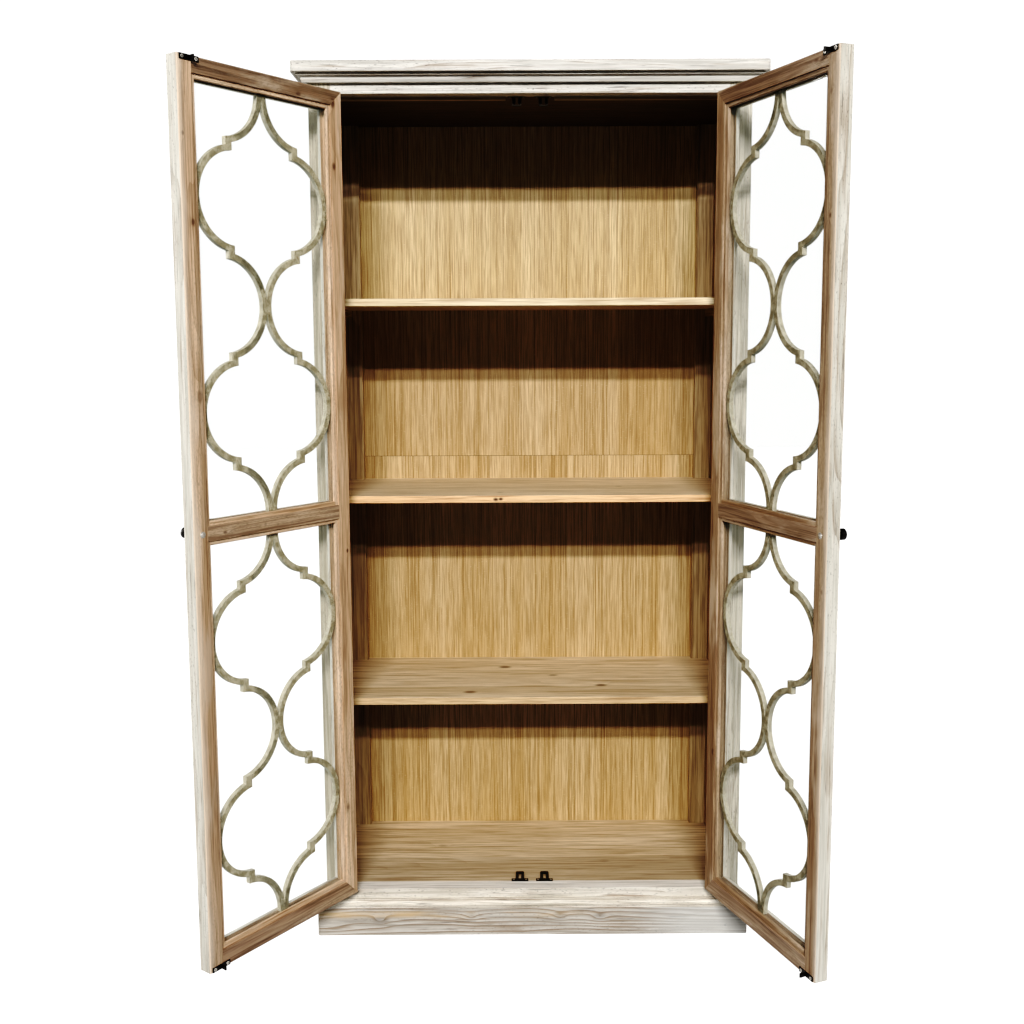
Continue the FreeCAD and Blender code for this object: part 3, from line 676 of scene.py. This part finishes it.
for number, side in enumerate(SIDES):
    seed = 40.0 + 10 * number
    for index, (part, (grain, tones)) in enumerate(DOOR_PARTS.items()):
        name = side + "_door_" + part
        paint(name, door_board("door_wood_" + name, side, grain, seed + index, tones[side],
                               DOOR_KNOTS.get(name, ())))
    fret = fret_paint("fret_wood_" + side, side)
    for part, material in (("fretwork_upper", fret), ("fretwork_lower", fret), ("glass", glass),
                           ("knob", black), ("hinge_leaves", steel), ("strikes", black)):
        paint(side + "_door_" + part, material)

# Softened arrises, by width
SOFT_DOOR_PARTS = ("hinge_stile", "meeting_stile", "top_rail", "mid_rail", "bottom_rail", "fretwork_upper",
                   "fretwork_lower")
SOFT = {0.0012: ("plinth_front", "plinth_sides", "bottom_rail", "face_stile_left", "face_stile_right"),
        0.001: ("top_rail", "shelf_upper", "shelf_middle", "shelf_lower", "rear_post_left",
                "rear_post_right"),
        0.003: ("cornice_board",),
        0.0025: ("left_door_knob", "right_door_knob"),
        0.0008: [side + "_door_" + part for side in SIDES for part in SOFT_DOOR_PARTS]}
WELD_DISTANCE = 0.00001
SOFT_ANGLE = math.radians(40)
for width, names in SOFT.items():
    for name in names:
        weld = nodes[name].modifiers.new("weld", "WELD")
        weld.merge_threshold = WELD_DISTANCE
        soft = nodes[name].modifiers.new("soft arrises", "BEVEL")
        soft.width = width
        soft.segments = 2
        soft.limit_method = "ANGLE"
        soft.angle_limit = SOFT_ANGLE

# Screws. Hinge screw heads stand 0.12 mm proud of their leaf, so that shut leaves stay clear
LEAF_FACE = 0.0002
HEAD_SUNK = 0.00051
LEAF_MIDDLE_Y = FACE_Y + 0.013
HINGE_HEAD = 0.0036
STRIKE_HEAD = 0.0042
CATCH_HEAD = 0.0028
PIN_GAP_MM = 80
STRIKE_FROM_EDGE = 0.031
STRIKE_SCREW_ASIDE = 0.018
STRIKE_SCREW_RISE = 0.00575
STRIKE_SCREW_DEPTH = 0.0365
KNOB_FROM_EDGE = 0.02375
CATCH_X = 0.0325
CATCH_SCREW_ASIDE = 0.0165
CATCH_SCREW_DEPTH = 0.045
CATCH_SCREW_RISE = 0.0012


def hinge_levels():
    """Middle height of each hinge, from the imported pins."""
    groups = []
    for height in sorted({round(vertex.co.z * 1000) for vertex in nodes["hinge_pins"].data.vertices}):
        if not groups or height - groups[-1][-1] > PIN_GAP_MM:
            groups.append([height])
        else:
            groups[-1].append(height)
    return [(group[0] + group[-1]) / 2000 for group in groups]


LEVELS = hinge_levels()
case_faces = []
for sign in (-1, 1):
    face_x = sign * (HINGE_X + LEAF_FACE + HEAD_SUNK)
    case_faces += [(Vector((face_x, LEAF_MIDDLE_Y, z)), Vector((-sign, 0, 0))) for z in LEVELS]
screw_heads("hinge_screws_case", hinge_screw_places(case_faces), HINGE_HEAD, "case")
for side in SIDES:
    sign = OUTWARD[side]
    angle, hinge = door_turn(side)
    swing = Matrix.Translation(hinge) @ Matrix.Rotation(angle, 4, "Z") @ Matrix.Translation(-hinge)
    closed_x = sign * (abs(hinge.x) - LEAF_FACE - HEAD_SUNK)
    faces = [(swing @ Vector((closed_x, LEAF_MIDDLE_Y, z)), swing.to_3x3() @ Vector((sign, 0, 0)))
             for z in LEVELS]
    screw_heads("hinge_screws_" + side, hinge_screw_places(faces), HINGE_HEAD, side + "_door")
    inner_face = swing.to_3x3() @ Vector((0, 1, 0))
    free_x = DOOR_EDGE - DOOR_WIDTH
    spots = []
    for end in (DOOR_LOW + STRIKE_SCREW_RISE, DOOR_HIGH - STRIKE_SCREW_RISE):
        for aside in (-STRIKE_SCREW_ASIDE, STRIKE_SCREW_ASIDE):
            closed = Vector((sign * (free_x + STRIKE_FROM_EDGE - aside), FACE_Y + STRIKE_SCREW_DEPTH, end))
            spots.append((swing @ closed, inner_face, aside * 40))
    screw_heads("strike_screws_" + side, spots, STRIKE_HEAD, side + "_door")
    closed = Vector((sign * (free_x + KNOB_FROM_EDGE), FACE_Y + DOOR_THICKNESS, KNOB_LEVEL))
    dome_head("knob_screw_" + side, swing @ closed, inner_face, side + "_door")
spots = []
for catch_x in (-CATCH_X, CATCH_X):
    for z, up in ((FLOOR_LEVEL + CATCH_SCREW_RISE, 1), (CEILING_LEVEL - CATCH_SCREW_RISE, -1)):
        for aside in (-CATCH_SCREW_ASIDE, CATCH_SCREW_ASIDE):
            spot = Vector((catch_x + aside, FACE_Y + CATCH_SCREW_DEPTH, z))
            spots.append((spot, Vector((0, 0, up)), aside * 60))
screw_heads("catch_screws", spots, CATCH_HEAD, "case")

# Dark filler in the seam between the two back sheets
FILLER_SETBACK = 0.002
FILLER_DEPTH_SHARE = 0.6
sheet_low, sheet_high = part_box("back_panel_lower")
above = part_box("back_panel_upper")[0].z
middle = (sheet_low + sheet_high) / 2
middle.z = (sheet_high.z + above) / 2
extent = (sheet_high.x - sheet_low.x - FILLER_SETBACK, (sheet_high.y - sheet_low.y) * FILLER_DEPTH_SHARE,
          above - sheet_high.z)
seam = bmesh.new()
bmesh.ops.create_cube(seam, size=1.0, matrix=Matrix.Translation(middle) @ Matrix.Diagonal((*extent, 1)))
seam_mesh = shape_of("back_seam_filler", seam)
filler = in_scene("back_seam_filler", seam_mesh)
seam_mesh.materials.append(inside_board("pine_back_seam", GRAIN_X, 50.0, CEILING_SHADE_AND_SEAM_TONES))
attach(filler, "case")

# Floor, light and camera
FLOOR_REACH = 14.0
FLOOR_GREY = (92, 92, 92)
FLOOR_GLOW = 1.08
BACKDROP_STRENGTH = 1.12
WHITE = (1.0, 1.0, 1.0, 1.0)
AIM = (0, 0, 1.1)
KEY_AIM = (-0.3, 0, 1.1)
# Lamps: place, aim, width, height and energy
LAMPS = {"key_low": ((-0.3, -13.4, 7.3), KEY_AIM, 5.0, 0.35, 950),
         "key_high": ((-0.3, -13.4, 8.4), KEY_AIM, 5.0, 0.35, 1650),
         "fill_left": ((-9.5, -6.0, 6.0), AIM, 5.0, 5.0, 300),
         "fill_right": ((9.5, -6.0, 6.0), AIM, 5.0, 5.0, 300),
         "side_left": ((-11.0, 5.0, 2.4), AIM, 5.0, 5.0, 1150),
         "side_right": ((11.0, 5.0, 2.4), AIM, 5.0, 5.0, 1150),
         "fill_back": ((0, 12.0, 6.0), AIM, 6.0, 6.0, 900)}
# Points of the tone curve: rendered and shown brightness
TONE_CURVE = ((0.02, 0.002), (0.045, 0.006), (0.09, 0.022), (0.15, 0.08), (0.25, 0.21), (0.4, 0.385))
CAMERA_PLACE = (-0.04465, -3.08085, 1.5298)
CAMERA_YAW, CAMERA_PITCH, CAMERA_ROLL = (math.radians(a) for a in (0.13375, 6.7609, -0.24333))
PICTURE_PIXELS = 1024
FOCAL_PIXELS = 1154.5
CENTRE_PIXELS = (516.21, 480.63)
SENSOR_WIDTH = 36.0

floor_mesh = bpy.data.meshes.new("floor")
corners = [(-FLOOR_REACH, -FLOOR_REACH, 0), (FLOOR_REACH, -FLOOR_REACH, 0), (FLOOR_REACH, FLOOR_REACH, 0),
           (-FLOOR_REACH, FLOOR_REACH, 0)]
floor_mesh.from_pydata(corners, [], [(0, 1, 2, 3)])
floor = in_scene("floor", floor_mesh)
g = Graph("pale_floor")
g.feed(g.shader.inputs["Emission Color"], WHITE)
g.feed(g.shader.inputs["Emission Strength"], FLOOR_GLOW)
floor_mesh.materials.append(g.finish(colour(FLOOR_GREY), 0.9))
floor.visible_diffuse = False

world = bpy.data.worlds.new("studio")
bpy.context.scene.world = world
world.use_nodes = True
background = world.node_tree.nodes["Background"]
background.inputs["Color"].default_value = WHITE
background.inputs["Strength"].default_value = BACKDROP_STRENGTH
world.cycles_visibility.diffuse = False
world.cycles_visibility.glossy = False

for name, (place, aim, width, height, energy) in LAMPS.items():
    light = bpy.data.lights.new(name, "AREA")
    light.shape = "SQUARE" if height == width else "RECTANGLE"
    light.size = width
    light.size_y = height
    light.energy = energy
    piece = in_scene(name, light)
    piece.location = place
    piece.rotation_euler = (Vector(aim) - Vector(place)).to_track_quat("-Z", "Y").to_euler()

view = bpy.context.scene.view_settings
view.view_transform = "Standard"
view.use_curve_mapping = True
for rendered, shown in TONE_CURVE:
    view.curve_mapping.curves[3].points.new(rendered, shown)
view.curve_mapping.update()

ahead = Vector((math.sin(CAMERA_YAW) * math.cos(CAMERA_PITCH),
                math.cos(CAMERA_YAW) * math.cos(CAMERA_PITCH), -math.sin(CAMERA_PITCH)))
flat_right = Vector((math.cos(CAMERA_YAW), -math.sin(CAMERA_YAW), 0))
flat_up = flat_right.cross(ahead)
right = flat_right * math.cos(CAMERA_ROLL) + flat_up * math.sin(CAMERA_ROLL)
up = flat_up * math.cos(CAMERA_ROLL) - flat_right * math.sin(CAMERA_ROLL)
data = bpy.data.cameras.new("camera")
data.sensor_width = SENSOR_WIDTH
data.lens = FOCAL_PIXELS / PICTURE_PIXELS * SENSOR_WIDTH
data.shift_x = (PICTURE_PIXELS / 2 - CENTRE_PIXELS[0]) / PICTURE_PIXELS
data.shift_y = (CENTRE_PIXELS[1] - PICTURE_PIXELS / 2) / PICTURE_PIXELS
camera = in_scene("camera", data)
camera.matrix_world = Matrix((right, up, -ahead)).transposed().to_4x4()
camera.location = CAMERA_PLACE
bpy.context.scene.camera = camera
